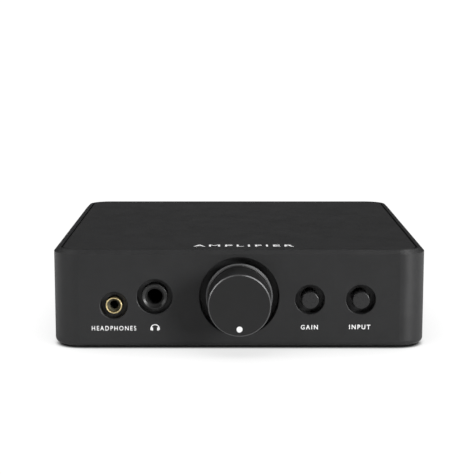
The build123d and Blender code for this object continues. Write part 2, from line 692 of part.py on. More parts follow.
# ----------------------------------------------------------- rear line-in jack
LINE_BODY_Y1 = REAR - PANEL_T - 0.4
LINE_NOSE = REAR + 1.0
LINE_NOSE_FACE = LINE_NOSE - 1.2
with BuildPart() as line_in_jack_body:
    with BuildSketch(rear(LINE_X, (BOARD_TOP + 23.2) / 2, LINE_BODY_Y1)):
        RectangleRounded(10.0, 23.2 - BOARD_TOP, 0.6)
    extrude(amount=-14.0)
    with BuildSketch(rear(LINE_X, LINE_Z, LINE_BODY_Y1 - 1)):
        Circle(2.8)
    extrude(amount=LINE_NOSE_FACE - (LINE_BODY_Y1 - 1))
    with BuildSketch(rear(LINE_X, LINE_Z, LINE_NOSE_FACE)):
        Circle(SMALL_BORE_R)
    extrude(amount=-15.0, mode=Mode.SUBTRACT)
    chamfer(
        line_in_jack_body.edges()
        .filter_by(GeomType.CIRCLE)
        .filter_by_position(Axis.Y, LINE_NOSE_FACE - 0.01, LINE_NOSE_FACE + 0.01)
        .sort_by(SortBy.RADIUS)[0],
        SMALL_MOUTH,
    )
line_in_jack_body.part.label = "line_in_jack_body"
export_step(line_in_jack_body.part, "parts/line_in_jack_body.step")

with BuildPart() as line_in_jack_ring:
    with BuildSketch(rear(LINE_X, LINE_Z, LINE_BODY_Y1)):
        Circle(3.5)
        Circle(2.83, mode=Mode.SUBTRACT)
    extrude(amount=LINE_NOSE - LINE_BODY_Y1)
    fillet(line_in_jack_ring.faces().sort_by(Axis.Y)[-1].edges(), 0.15)
line_in_jack_ring.part.label = "line_in_jack_ring"
export_step(line_in_jack_ring.part, "parts/line_in_jack_ring.step")

# ----------------------------------------------------------------- RCA sockets
RCA_BODY_Y0, RCA_BODY_Y1 = 65.6, REAR - PANEL_T - 0.3
RCA_TIP = REAR + REAR_OUT
with BuildPart() as rca_input_housing:
    with BuildSketch(rear(RCA_IN_X, (BOARD_TOP + 31.0) / 2, RCA_BODY_Y1)):
        RectangleRounded(27.0, 31.0 - BOARD_TOP, 1.0)
    extrude(amount=RCA_BODY_Y0 - RCA_BODY_Y1)
    for x in (RCA_IN_X - 7, RCA_IN_X + 7):
        with BuildSketch(rear(x, RCA_Z, RCA_BODY_Y1 - 1)):
            Circle(5.05)
        extrude(amount=REAR - (RCA_BODY_Y1 - 1))
        with BuildSketch(rear(x, RCA_Z, REAR)):
            Circle(3.9)
        extrude(amount=-11.2, mode=Mode.SUBTRACT)
    with BuildSketch(rear(RCA_IN_X, RCA_SCREW_Z, RCA_BODY_Y1)):
        Circle(1.15)
    extrude(amount=-7, mode=Mode.SUBTRACT)
rca_input_housing.part.label = "rca_input_housing"
export_step(rca_input_housing.part, "parts/rca_input_housing.step")

with BuildPart() as rca_output_housing:
    with BuildSketch(rear(RCA_OUT_X, (BOARD_TOP + 31.0) / 2, RCA_BODY_Y1)):
        RectangleRounded(27.0, 31.0 - BOARD_TOP, 1.0)
    extrude(amount=RCA_BODY_Y0 - RCA_BODY_Y1)
    for x in (RCA_OUT_X - 7, RCA_OUT_X + 7):
        with BuildSketch(rear(x, RCA_Z, RCA_BODY_Y1 - 1)):
            Circle(5.05)
        extrude(amount=REAR - (RCA_BODY_Y1 - 1))
        with BuildSketch(rear(x, RCA_Z, REAR)):
            Circle(3.9)
        extrude(amount=-11.2, mode=Mode.SUBTRACT)
    with BuildSketch(rear(RCA_OUT_X, RCA_SCREW_Z, RCA_BODY_Y1)):
        Circle(1.15)
    extrude(amount=-7, mode=Mode.SUBTRACT)
rca_output_housing.part.label = "rca_output_housing"
export_step(rca_output_housing.part, "parts/rca_output_housing.step")

# Barrels: the outer contact of each socket, thinner where it sits in the housing.
with BuildPart() as rca_barrels:
    for x in RCA_XS:
        with BuildSketch(rear(x, RCA_Z, REAR)):
            Circle(RCA_R)
        extrude(amount=REAR_OUT)
        with BuildSketch(rear(x, RCA_Z, REAR)):
            Circle(3.85)
        extrude(amount=-11.0)
    chamfer(
        rca_barrels.edges()
        .filter_by(GeomType.CIRCLE)
        .filter_by_position(Axis.Y, RCA_TIP - 0.01, RCA_TIP + 0.01),
        0.35,
    )
    with BuildSketch(rear(0, RCA_Z, RCA_TIP)):
        for x in RCA_XS:
            with Locations((-x, 0)):
                Circle(3.45)
    extrude(amount=-(REAR_OUT + 10.0), mode=Mode.SUBTRACT)
rca_barrels.part.label = "rca_barrels"
export_step(rca_barrels.part, "parts/rca_barrels.step")

with BuildPart() as rca_left_insulators:
    for x in (RCA_XS[0], RCA_XS[2]):
        with BuildSketch(rear(x, RCA_Z, REAR - 9.9)):
            Circle(3.4)
            Circle(2.05, mode=Mode.SUBTRACT)
        extrude(amount=11.4)
rca_left_insulators.part.label = "rca_left_insulators"
export_step(rca_left_insulators.part, "parts/rca_left_insulators.step")

with BuildPart() as rca_right_insulators:
    for x in (RCA_XS[1], RCA_XS[3]):
        with BuildSketch(rear(x, RCA_Z, REAR - 9.9)):
            Circle(3.4)
            Circle(2.05, mode=Mode.SUBTRACT)
        extrude(amount=11.4)
rca_right_insulators.part.label = "rca_right_insulators"
export_step(rca_right_insulators.part, "parts/rca_right_insulators.step")

with BuildPart() as rca_center_contacts:
    for x in RCA_XS:
        with BuildSketch(rear(x, RCA_Z, REAR - 9.9)):
            Circle(2.0)
        extrude(amount=9.9 + REAR_OUT - 1.4)
    with BuildSketch(rear(0, RCA_Z, RCA_TIP)):
        for x in RCA_XS:
            with Locations((-x, 0)):
                Circle(1.65)
    extrude(amount=-(REAR_OUT + 8.9), mode=Mode.SUBTRACT)
rca_center_contacts.part.label = "rca_center_contacts"
export_step(rca_center_contacts.part, "parts/rca_center_contacts.step")

with BuildPart() as rca_screws:
    with BuildSketch(rear(0, RCA_SCREW_Z, REAR)):
        for x in (RCA_IN_X, RCA_OUT_X):
            with Locations((-x, 0)):
                Circle(2.3)
    extrude(amount=1.4)
    fillet(
        rca_screws.edges()
        .filter_by(GeomType.CIRCLE)
        .filter_by_position(Axis.Y, REAR + 1.39, REAR + 1.41),
        0.6,
    )
    with BuildSketch(rear(0, RCA_SCREW_Z, REAR + 1.4)):
        for x in (RCA_IN_X, RCA_OUT_X):
            with Locations((-x, 0)):
                Rectangle(2.4, 0.55)
                Rectangle(0.55, 2.4)
    extrude(amount=-0.9, mode=Mode.SUBTRACT)
    with BuildSketch(rear(0, RCA_SCREW_Z, REAR + 0.2)):
        for x in (RCA_IN_X, RCA_OUT_X):
            with Locations((-x, 0)):
                Circle(1.1)
    extrude(amount=-8.0)
rca_screws.part.label = "rca_screws"
export_step(rca_screws.part, "parts/rca_screws.step")

# ---------------------------------------------------------------- power inlet
with BuildPart() as power_inlet:
    with BuildSketch(rear(POWER_X, BOARD_TOP + 5.6, REAR)):
        RectangleRounded(9.2, 11.2, 0.5)
    extrude(amount=-14.2)
    with BuildSketch(rear(POWER_X, POWER_Z, REAR)):
        Circle(3.1)
    extrude(amount=-10.0, mode=Mode.SUBTRACT)
    chamfer(
        power_inlet.edges()
        .filter_by(GeomType.CIRCLE)
        .filter_by_position(Axis.Y, REAR - 0.01, REAR + 0.01)
        .sort_by(SortBy.RADIUS)[-1],
        0.4,
    )
    with BuildSketch(rear(POWER_X, POWER_Z, REAR)):
        Circle(1.1)
    extrude(amount=-12.5, mode=Mode.SUBTRACT)
power_inlet.part.label = "power_inlet"
export_step(power_inlet.part, "parts/power_inlet.step")

with BuildPart() as power_inlet_pin:
    with BuildSketch(rear(POWER_X, POWER_Z, REAR - 12.4)):
        Circle(1.05)
    extrude(amount=11.4)
    fillet(power_inlet_pin.faces().sort_by(Axis.Y)[-1].edges(), 0.5)
power_inlet_pin.part.label = "power_inlet_pin"
export_step(power_inlet_pin.part, "parts/power_inlet_pin.step")

# ------------------------------------------------------- parts on the board
CAP_XY = [(48, 26), (32, 26), (48, 42), (32, 42)]
with BuildPart() as filter_capacitors:
    with BuildSketch(Plane.XY.offset(BOARD_TOP)):
        with Locations(*CAP_XY):
            Circle(6.4)
    extrude(amount=18.7)
    fillet(
        filter_capacitors.edges()
        .filter_by(GeomType.CIRCLE)
        .filter_by_position(Axis.Z, BOARD_TOP + 18.69, BOARD_TOP + 18.71),
        0.7,
    )
filter_capacitors.part.label = "filter_capacitors"
export_step(filter_capacitors.part, "parts/filter_capacitors.step")

with BuildPart() as film_capacitors:
    with BuildSketch(Plane.XY.offset(BOARD_TOP)):
        with Locations((-10, -26), (-10, -16), (10, -26), (10, -16)):
            Rectangle(9.0, 4.6)
    extrude(amount=9.5)
film_capacitors.part.label = "film_capacitors"
export_step(film_capacitors.part, "parts/film_capacitors.step")

with BuildPart() as amplifier_chips:
    with BuildSketch(Plane.XY.offset(BOARD_TOP)):
        with Locations((-46, 24), (-46, 38), (-30, 24), (-30, 38)):
            Rectangle(9.6, 6.4)
    extrude(amount=3.6)
    with BuildSketch(Plane.XY.offset(BOARD_TOP + 3.6)):
        with Locations((-50.2, 24), (-50.2, 38), (-34.2, 24), (-34.2, 38)):
            Circle(0.8)
    extrude(amount=-0.4, mode=Mode.SUBTRACT)
amplifier_chips.part.label = "amplifier_chips"
export_step(amplifier_chips.part, "parts/amplifier_chips.step")

with BuildPart() as output_buffer_chips:
    with BuildSketch(Plane.XY.offset(BOARD_TOP)):
        with Locations((-46, -8), (-30, -8)):
            Rectangle(10.2, 7.6)
    extrude(amount=2.6)
output_buffer_chips.part.label = "output_buffer_chips"
export_step(output_buffer_chips.part, "parts/output_buffer_chips.step")

with BuildPart() as voltage_regulators:
    with BuildSketch(Plane.XY.offset(BOARD_TOP + 1.0)):
        with Locations((8, 40), (-8, 40)):
            Rectangle(10.0, 4.4)
    extrude(amount=9.0)
    with BuildSketch(Plane.XY.offset(BOARD_TOP + 1.0)):
        with Locations((8, 41.55), (-8, 41.55)):
            Rectangle(10.0, 1.3)
    extrude(amount=15.5)
    with BuildSketch(Plane.XY.offset(BOARD_TOP)):
        for x in (8, -8):
            with Locations((x - 2.54, 40.5), (x, 40.5), (x + 2.54, 40.5)):
                Rectangle(0.9, 0.6)
    extrude(amount=1.2)
    with BuildSketch(rear(0, BOARD_TOP + 13.4, 43)):
        with Locations((8, 0), (-8, 0)):
            Circle(1.8)
    extrude(amount=-4, mode=Mode.SUBTRACT)
voltage_regulators.part.label = "voltage_regulators"
export_step(voltage_regulators.part, "parts/voltage_regulators.step")

with BuildPart() as output_relay:
    with BuildSketch(Plane.XY.offset(BOARD_TOP)):
        with Locations((-38, -26)):
            RectangleRounded(15.0, 10.2, 0.5)
    extrude(amount=10.0)
    fillet(output_relay.faces().sort_by(Axis.Z)[-1].edges(), 0.4)
output_relay.part.label = "output_relay"
export_step(output_relay.part, "parts/output_relay.step")

with BuildPart() as rectifier_diodes:
    for x in (44, 34):
        with BuildSketch(front(x, BOARD_TOP + 2.7, 12)):
            Circle(2.6)
        extrude(amount=9)
        with BuildSketch(front(x, BOARD_TOP + 2.7, 14)):
            Circle(0.55)
        extrude(amount=13)
rectifier_diodes.part.label = "rectifier_diodes"
export_step(rectifier_diodes.part, "parts/rectifier_diodes.step")

with BuildPart() as resistors:
    for x in (-20, -15, 15, 20, 25, -52, -47, -42):
        with BuildSketch(front(x, BOARD_TOP + 1.3, 8)):
            Circle(1.2)
        extrude(amount=6.4)
        with BuildSketch(front(x, BOARD_TOP + 1.3, 9.6)):
            Circle(0.35)
        extrude(amount=9.6)
resistors.part.label = "resistors"
export_step(resistors.part, "parts/resistors.step")
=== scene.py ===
import bpy, bmesh, json, math
from mathutils import Vector, Matrix


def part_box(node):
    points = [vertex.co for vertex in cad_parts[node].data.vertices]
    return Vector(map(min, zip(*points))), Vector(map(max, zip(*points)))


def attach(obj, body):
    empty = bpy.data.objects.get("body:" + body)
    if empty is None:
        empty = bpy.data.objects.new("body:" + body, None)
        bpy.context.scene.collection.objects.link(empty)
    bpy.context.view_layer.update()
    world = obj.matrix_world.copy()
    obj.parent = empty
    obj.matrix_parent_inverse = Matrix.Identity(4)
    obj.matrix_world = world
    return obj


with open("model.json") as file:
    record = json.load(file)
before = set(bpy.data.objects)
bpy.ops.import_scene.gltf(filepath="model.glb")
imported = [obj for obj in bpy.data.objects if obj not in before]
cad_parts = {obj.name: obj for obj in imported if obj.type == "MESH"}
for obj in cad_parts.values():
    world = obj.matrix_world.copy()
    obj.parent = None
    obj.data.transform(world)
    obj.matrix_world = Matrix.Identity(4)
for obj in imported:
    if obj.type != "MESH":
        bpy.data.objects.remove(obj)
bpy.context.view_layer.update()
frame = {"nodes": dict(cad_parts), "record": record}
nodes = frame["nodes"]
MM = 0.001

# ------------------------------------------------------------------ positions
case_lo, case_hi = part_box("main_case")
FRONT = case_lo.y
REAR = case_hi.y
TOP = case_hi.z
knob_lo, knob_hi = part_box("volume_knob")
gain_c = sum(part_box("gain_button"), Vector()) / 2
input_c = sum(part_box("input_button"), Vector()) / 2
large_c = sum(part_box("large_jack_contacts"), Vector()) / 2
small_c = sum(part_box("small_jack_ring"), Vector()) / 2
knob_c = (knob_lo + knob_hi) / 2
COVER_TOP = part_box("top_cover")[1].z

# --------------------------------------------------------------------- camera
cam_data = bpy.data.cameras.new("camera")
cam = bpy.data.objects.new("camera", cam_data)
bpy.context.scene.collection.objects.link(cam)
PITCH = 9.09
cam_data.sensor_width = 36.0
cam_data.lens = 102.3
cam_data.shift_x = 0.0141
cam_data.clip_start = 0.01
cam_data.clip_end = 40.0
cam.location = (-3.63 * MM, FRONT - 536.5 * MM, TOP + 91.4 * MM)
cam.rotation_euler = (math.radians(90 - PITCH), 0, 0)
bpy.context.scene.camera = cam
bpy.context.scene.view_settings.view_transform = "Standard"


# ------------------------------------------------------------------ materials
def new_mat(name):
    m = bpy.data.materials.new(name)
    m.use_nodes = True
    nt = m.node_tree
    nt.nodes.clear()
    out = nt.nodes.new("ShaderNodeOutputMaterial")
    b = nt.nodes.new("ShaderNodeBsdfPrincipled")
    nt.links.new(b.outputs["BSDF"], out.inputs["Surface"])
    return m, nt, b


def coords(nt, scale=(1, 1, 1)):
    tc = nt.nodes.new("ShaderNodeTexCoord")
    mp = nt.nodes.new("ShaderNodeMapping")
    mp.inputs["Scale"].default_value = scale
    nt.links.new(tc.outputs["Object"], mp.inputs["Vector"])
    return mp.outputs["Vector"]


def noise(nt, vec, scale, detail=2.0, rough=0.5, distortion=0.0):
    n = nt.nodes.new("ShaderNodeTexNoise")
    n.inputs["Scale"].default_value = scale
    n.inputs["Detail"].default_value = detail
    n.inputs["Roughness"].default_value = rough
    n.inputs["Distortion"].default_value = distortion
    nt.links.new(vec, n.inputs["Vector"])
    return n.outputs["Fac"]


def remap(nt, fac, a, b, lo, hi):
    r = nt.nodes.new("ShaderNodeMapRange")
    r.inputs["From Min"].default_value = a
    r.inputs["From Max"].default_value = b
    r.inputs["To Min"].default_value = lo
    r.inputs["To Max"].default_value = hi
    nt.links.new(fac, r.inputs["Value"])
    return r.outputs["Result"]


def maths(nt, op, a, b):
    m = nt.nodes.new("ShaderNodeMath")
    m.operation = op
    for i, v in enumerate((a, b)):
        if isinstance(v, (int, float)):
            m.inputs[i].default_value = v
        else:
            nt.links.new(v, m.inputs[i])
    return m.outputs[0]


def mix_colour(nt, fac, a, b):
    m = nt.nodes.new("ShaderNodeMix")
    m.data_type = "RGBA"
    for sock, v in ((m.inputs[6], a), (m.inputs[7], b)):
        if isinstance(v, tuple):
            sock.default_value = (*v, 1)
        else:
            nt.links.new(v, sock)
    if isinstance(fac, (int, float)):
        m.inputs[0].default_value = fac
    else:
        nt.links.new(fac, m.inputs[0])
    return m.outputs[2]


def edge_mask(nt, radius, lo=0.02, hi=0.25):
    """1 on rounded or sharp edges, 0 on flats: how far the bevelled normal leans from the face's own."""
    bev = nt.nodes.new("ShaderNodeBevel")
    bev.samples = 6
    bev.inputs["Radius"].default_value = radius
    geo = nt.nodes.new("ShaderNodeNewGeometry")
    dot = nt.nodes.new("ShaderNodeVectorMath")
    dot.operation = "DOT_PRODUCT"
    nt.links.new(bev.outputs["Normal"], dot.inputs[0])
    nt.links.new(geo.outputs["True Normal"], dot.inputs[1])
    inv = maths(nt, "SUBTRACT", 1.0, dot.outputs["Value"])
    return remap(nt, inv, lo, hi, 0.0, 1.0)


def surface(
    name, colour, rough, metallic=0.0, specular=0.5, ior=1.5, vary=0.12, vary_scale=160.0,
    grain_scale=2600.0, grain_depth=8e-6, grain_strength=0.4, rough_vary=0.05, stretch=(1, 1, 1),
    edge=0.0, edge_radius=0.25 * MM, edge_colour=None, coat=0.0, coat_rough=0.1, dust=0.0,
):
    """A finished procedural surface: mottled colour, uneven gloss, a fine grain as bump, and lighter, glossier edges
    painted on as a highlight where the edges would catch the light.
    """
    m, nt, b = new_mat(name)
    v = coords(nt, stretch)
    mottle = noise(nt, v, vary_scale, 4.0, 0.6)
    fine = noise(nt, v, grain_scale, 2.0, 0.55)
    mid = noise(nt, v, grain_scale * 0.27, 3.0, 0.6)
    dark = tuple(c * (1 - vary) for c in colour)
    light = tuple(min(1.0, c * (1 + vary)) for c in colour)
    f = remap(nt, maths(nt, "ADD", maths(nt, "MULTIPLY", mottle, 0.6), maths(nt, "MULTIPLY", mid, 0.4)), 0.32, 0.68, 0.0, 1.0)
    col = mix_colour(nt, f, dark, light)
    r = remap(nt, mottle, 0.3, 0.7, rough - rough_vary, rough + rough_vary)
    r = maths(nt, "ADD", r, remap(nt, mid, 0.3, 0.7, -rough_vary * 0.5, rough_vary * 0.5))
    # painted highlight: colour near edges is mixed towards a lighter tone and made glossier, standing in for light
    # caught by rounded edges
    if edge > 0:
        mask = edge_mask(nt, edge_radius)
        broken_edge_highlight = maths(nt, "MULTIPLY", mask, remap(nt, mid, 0.35, 0.65, 0.35, 1.0))
        ec = edge_colour or tuple(min(1.0, c * 2.2 + 0.01) for c in colour)
        col = mix_colour(nt, maths(nt, "MULTIPLY", broken_edge_highlight, edge), col, ec)
        r = maths(nt, "SUBTRACT", r, maths(nt, "MULTIPLY", broken_edge_highlight, 0.1 * edge))
    if dust > 0:
        d = remap(nt, noise(nt, v, 60.0, 6.0, 0.7), 0.5, 0.8, 0.0, dust)
        col = mix_colour(nt, d, col, (0.35, 0.34, 0.32))
    nt.links.new(col, b.inputs["Base Color"])
    nt.links.new(r, b.inputs["Roughness"])
    b.inputs["Metallic"].default_value = metallic
    b.inputs["IOR"].default_value = ior
    b.inputs["Specular IOR Level"].default_value = specular
    b.inputs["Coat Weight"].default_value = coat
    b.inputs["Coat Roughness"].default_value = coat_rough
    bump = nt.nodes.new("ShaderNodeBump")
    bump.inputs["Strength"].default_value = grain_strength
    bump.inputs["Distance"].default_value = grain_depth
    nt.links.new(maths(nt, "ADD", fine, maths(nt, "MULTIPLY", mid, 0.8)), bump.inputs["Height"])
    nt.links.new(bump.outputs["Normal"], b.inputs["Normal"])
    return m


CHARCOAL = (0.0188, 0.0189, 0.0194)
# edge= sets how strongly each finish gets the painted edge highlight
mats = {
    "case_plastic": surface("case_plastic", CHARCOAL, 0.39, specular=0.35, vary=0.1, vary_scale=120, grain_scale=2400,
                            grain_depth=14e-6, grain_strength=0.5, rough_vary=0.04, edge=0.25, edge_radius=0.2 * MM),
    "cover_plastic": surface("cover_plastic", CHARCOAL, 0.42, specular=0.3, vary=0.1, vary_scale=110, grain_scale=2400,
                             grain_depth=14e-6, grain_strength=0.5, rough_vary=0.04, edge=0.25, edge_radius=0.2 * MM),
    "panel_plastic": surface("panel_plastic", (0.014, 0.014, 0.0145), 0.42, specular=0.3, vary=0.12, vary_scale=140,
                             grain_scale=2100, grain_depth=14e-6, grain_strength=0.5, edge=0.25, edge_radius=0.15 * MM),
    "foot_rubber": surface("foot_rubber", (0.018, 0.018, 0.018), 0.78, specular=0.25, vary=0.25, vary_scale=260,
                           grain_scale=1700, grain_depth=3e-5, grain_strength=0.6, rough_vary=0.08, dust=0.2),
    "screw_steel": surface("screw_steel", (0.55, 0.55, 0.57), 0.3, metallic=1.0, vary=0.1, vary_scale=500,
                           grain_scale=3000, grain_depth=4e-6, rough_vary=0.08, edge=0.3, edge_radius=0.15 * MM),
    "screw_black": surface("screw_black", (0.03, 0.03, 0.032), 0.34, metallic=0.7, vary=0.2, vary_scale=600,
                           grain_scale=3000, grain_depth=4e-6, rough_vary=0.08, edge=0.6, edge_radius=0.12 * MM,
                           edge_colour=(0.2, 0.19, 0.18)),
    "knob_metal": surface("knob_metal", (0.0092, 0.0092, 0.0094), 0.36, specular=0.4, vary=0.1, vary_scale=150,
                          grain_scale=3200, grain_depth=7e-6, grain_strength=0.4, rough_vary=0.04),
    "pointer_white": surface("pointer_white", (0.86, 0.86, 0.86), 0.35, vary=0.03, vary_scale=900, grain_scale=3000,
                             grain_depth=4e-6, rough_vary=0.05),
    "button_plastic": surface("button_plastic", (0.0165, 0.0165, 0.017), 0.28, specular=0.45, vary=0.1, vary_scale=300,
                              grain_scale=3000, grain_depth=8e-6, rough_vary=0.05, edge=0.3, edge_radius=0.15 * MM),
    "jack_plastic": surface("jack_plastic", (0.012, 0.012, 0.012), 0.3, specular=0.5, vary=0.15, vary_scale=400,
                            grain_scale=2500, grain_depth=5e-6, rough_vary=0.06, edge=0.3, edge_radius=0.12 * MM),
    "small_jack_plastic": surface("small_jack_plastic", (0.06, 0.058, 0.042), 0.35, specular=0.5, vary=0.2, vary_scale=500,
                                  grain_scale=2500, grain_depth=5e-6, rough_vary=0.06),
    "gold_plate": surface("gold_plate", (0.93, 0.76, 0.4), 0.32, metallic=1.0, vary=0.07, vary_scale=700,
                          grain_scale=3500, grain_depth=3e-6, rough_vary=0.07, edge=0.3, edge_radius=0.12 * MM,
                          edge_colour=(0.95, 0.8, 0.5)),
    "nickel_plate": surface("nickel_plate", (0.66, 0.64, 0.6), 0.2, metallic=1.0, vary=0.07, vary_scale=700,
                            grain_scale=3500, grain_depth=3e-6, rough_vary=0.07),
    "insulator_white": surface("insulator_white", (0.78, 0.78, 0.75), 0.4, vary=0.05, vary_scale=500, grain_depth=5e-6),
    "insulator_red": surface("insulator_red", (0.5, 0.02, 0.02), 0.38, vary=0.1, vary_scale=500, grain_depth=5e-6),
    "pot_steel": surface("pot_steel", (0.5, 0.5, 0.49), 0.34, metallic=1.0, vary=0.1, vary_scale=300,
                         stretch=(1, 1, 8), grain_scale=900, grain_depth=4e-6, rough_vary=0.1),
    "pot_brass": surface("pot_brass", (0.66, 0.5, 0.25), 0.3, metallic=1.0, vary=0.1, vary_scale=500,
                         stretch=(1, 9, 1), grain_scale=900, grain_depth=4e-6, rough_vary=0.1),
    "shaft_metal": surface("shaft_metal", (0.68, 0.68, 0.69), 0.3, metallic=1.0, vary=0.06, vary_scale=500,
                           stretch=(1, 9, 1), grain_scale=900, grain_depth=3e-6, rough_vary=0.08),
    "pot_plastic": surface("pot_plastic", (0.1, 0.05, 0.025), 0.5, vary=0.25, vary_scale=400),
    "switch_plastic": surface("switch_plastic", (0.03, 0.03, 0.032), 0.5, specular=0.35, vary=0.15, vary_scale=300),
    "plunger_plastic": surface("plunger_plastic", (0.72, 0.71, 0.67), 0.42, vary=0.05, vary_scale=400),
    "contact_brass": surface("contact_brass", (0.7, 0.55, 0.28), 0.3, metallic=1.0, vary=0.1, vary_scale=500,
                             stretch=(1, 9, 1), grain_scale=900, grain_depth=3e-6, rough_vary=0.1),
    "capacitor_sleeve": surface("capacitor_sleeve", (0.012, 0.016, 0.03), 0.28, vary=0.15, vary_scale=200, coat=0.3,
                                grain_depth=5e-6),
    "film_box": surface("film_box", (0.42, 0.05, 0.02), 0.35, vary=0.12, vary_scale=250),
    "chip_epoxy": surface("chip_epoxy", (0.02, 0.02, 0.021), 0.58, specular=0.35, vary=0.25, vary_scale=500,
                          grain_scale=1800, grain_depth=1.5e-5),
    "relay_plastic": surface("relay_plastic", (0.02, 0.035, 0.09), 0.42, vary=0.1, vary_scale=300),
    "resistor_lacquer": surface("resistor_lacquer", (0.1, 0.28, 0.42), 0.3, vary=0.1, vary_scale=500, coat=0.3),
}


def board_material():
    """Solder mask over copper: broad pours and thin tracks read through the mask as slightly lighter, raised areas."""
    m, nt, b = new_mat("board_laminate")
    v = coords(nt)
    br = nt.nodes.new("ShaderNodeTexBrick")
    br.inputs["Scale"].default_value = 140.0
    br.inputs["Mortar Size"].default_value = 0.06
    br.inputs["Mortar Smooth"].default_value = 0.1
    br.inputs["Brick Width"].default_value = 1.7
    br.inputs["Row Height"].default_value = 0.5
    nt.links.new(v, br.inputs["Vector"])
    vo = nt.nodes.new("ShaderNodeTexVoronoi")
    vo.inputs["Scale"].default_value = 55.0
    nt.links.new(v, vo.inputs["Vector"])
    pour = remap(nt, vo.outputs["Distance"], 0.35, 0.4, 0.0, 1.0)
    track = maths(nt, "MAXIMUM", br.outputs["Fac"], pour)
    n = noise(nt, v, 300.0, 4.0)
    base = mix_colour(nt, n, (0.004, 0.035, 0.014), (0.006, 0.05, 0.02))
    col = mix_colour(nt, maths(nt, "MULTIPLY", track, 0.7), base, (0.012, 0.1, 0.04))
    nt.links.new(col, b.inputs["Base Color"])
    nt.links.new(remap(nt, n, 0.3, 0.7, 0.25, 0.4), b.inputs["Roughness"])
    bump = nt.nodes.new("ShaderNodeBump")
    bump.inputs["Distance"].default_value = 3e-5
    bump.inputs["Strength"].default_value = 0.6
    nt.links.new(track, bump.inputs["Height"])
    nt.links.new(bump.outputs["Normal"], b.inputs["Normal"])
    return m


mats["board_laminate"] = board_material()


def bright_cuts(mat):
    """The knob's two turned rings, the bevel round its face and the cone of its flange, are cut bright and left satin."""
    nt = mat.node_tree
    b = [n for n in nt.nodes if n.type == "BSDF_PRINCIPLED"][0]
    tc = nt.nodes.new("ShaderNodeTexCoord")
    sep = nt.nodes.new("ShaderNodeSeparateXYZ")
    nt.links.new(tc.outputs["Object"], sep.inputs[0])
    x = maths(nt, "SUBTRACT", sep.outputs["X"], knob_c.x)
    z = maths(nt, "SUBTRACT", sep.outputs["Z"], knob_c.z)
    r = maths(nt, "SQRT", maths(nt, "ADD", maths(nt, "MULTIPLY", x, x), maths(nt, "MULTIPLY", z, z)), 0.0)
    y = sep.outputs["Y"]
    e = 0.03 * MM
    face = maths(nt, "MULTIPLY", remap(nt, r, KNOB_R - 0.46 * MM, KNOB_R - 0.4 * MM, 0.0, 1.0),
                 remap(nt, y, knob_lo.y + 0.4 * MM, knob_lo.y + 0.46 * MM, 1.0, 0.0))
    cone = maths(nt, "MULTIPLY", remap(nt, r, KNOB_R + 0.58 * MM, KNOB_R + 0.66 * MM, 0.0, 1.0),
                 remap(nt, y, FRONT + 0.25 * MM, FRONT + 0.31 * MM, 1.0, 0.0))
    cut = maths(nt, "ADD", face, cone)
    lines = nt.nodes.new("ShaderNodeTexWave")
    lines.wave_type = "RINGS"
    lines.rings_direction = "Y"
    lines.inputs["Scale"].default_value = 3000.0
    lines.inputs["Distortion"].default_value = 1.0
    shift = nt.nodes.new("ShaderNodeMapping")
    shift.inputs["Location"].default_value = (-knob_c.x, 0, -knob_c.z)
    nt.links.new(tc.outputs["Object"], shift.inputs["Vector"])
    nt.links.new(shift.outputs["Vector"], lines.inputs["Vector"])
    turned = remap(nt, lines.outputs["Fac"], 0.0, 1.0, 0.85, 1.15)
    bright = mix_colour(nt, cone, (0.1, 0.1, 0.102), (0.078, 0.079, 0.081))
    old = b.inputs["Base Color"].links[0].from_socket
    nt.links.new(mix_colour(nt, cut, old, bright), b.inputs["Base Color"])
    old = b.inputs["Roughness"].links[0].from_socket
    cut_rough = maths(nt, "MULTIPLY", turned, maths(nt, "ADD", 0.27, maths(nt, "MULTIPLY", cone, 0.15)))
    mixed = maths(nt, "ADD", maths(nt, "MULTIPLY", old, maths(nt, "SUBTRACT", 1.0, cut)), maths(nt, "MULTIPLY", cut_rough, cut))
    nt.links.new(mixed, b.inputs["Roughness"])
    nt.links.new(maths(nt, "MULTIPLY", face, 0.55), b.inputs["Metallic"])


KNOB_R = 12.45 * MM
bright_cuts(mats["knob_metal"])


def paint_mouth_shade(mat, cx, cz, radius):
    """The plastic inside the large jack's mouth is left rough from the mould, and its colour is painted near black:
    painted shade for the inside of the bore.
    """
    nt = mat.node_tree
    b = [n for n in nt.nodes if n.type == "BSDF_PRINCIPLED"][0]
    tc = nt.nodes.new("ShaderNodeTexCoord")
    sep = nt.nodes.new("ShaderNodeSeparateXYZ")
    nt.links.new(tc.outputs["Object"], sep.inputs[0])
    x = maths(nt, "SUBTRACT", sep.outputs["X"], cx)
    z = maths(nt, "SUBTRACT", sep.outputs["Z"], cz)
    r = maths(nt, "SQRT", maths(nt, "ADD", maths(nt, "MULTIPLY", x, x), maths(nt, "MULTIPLY", z, z)), 0.0)
    inside = remap(nt, r, radius - 0.06 * MM, radius, 1.0, 0.0)
    old = b.inputs["Base Color"].links[0].from_socket
    # painted shade: near-black colour inside the mouth radius
    nt.links.new(mix_colour(nt, inside, old, (0.0015, 0.0015, 0.0015)), b.inputs["Base Color"])
    old = b.inputs["Roughness"].links[0].from_socket
    mixed = maths(nt, "ADD", maths(nt, "MULTIPLY", old, maths(nt, "SUBTRACT", 1.0, inside)), maths(nt, "MULTIPLY", inside, 0.85))
    nt.links.new(mixed, b.inputs["Roughness"])


# painted shade inside the large jack's mouth
paint_mouth_shade(mats["jack_plastic"], -34.4 * MM, TOP - 19.06 * MM, 3.92 * MM)

slot_of = {s["node"]: s["material_slot"] for s in frame["record"]["subparts"]}
for name, obj in nodes.items():
    m = mats["small_jack_plastic" if name == "small_jack_body" else slot_of[name]]
    if not obj.data.materials:
        obj.data.materials.append(m)
    for i in range(len(obj.data.materials)):
        obj.data.materials[i] = m

# -------------------------------------------------------------------- legends
ink = surface("legend_ink", (0.94, 0.94, 0.94), 0.5, specular=0.3, vary=0.05, vary_scale=1500, grain_scale=4000,
              grain_depth=6e-6, grain_strength=0.5, rough_vary=0.06)
INK_T = 0.03 * MM


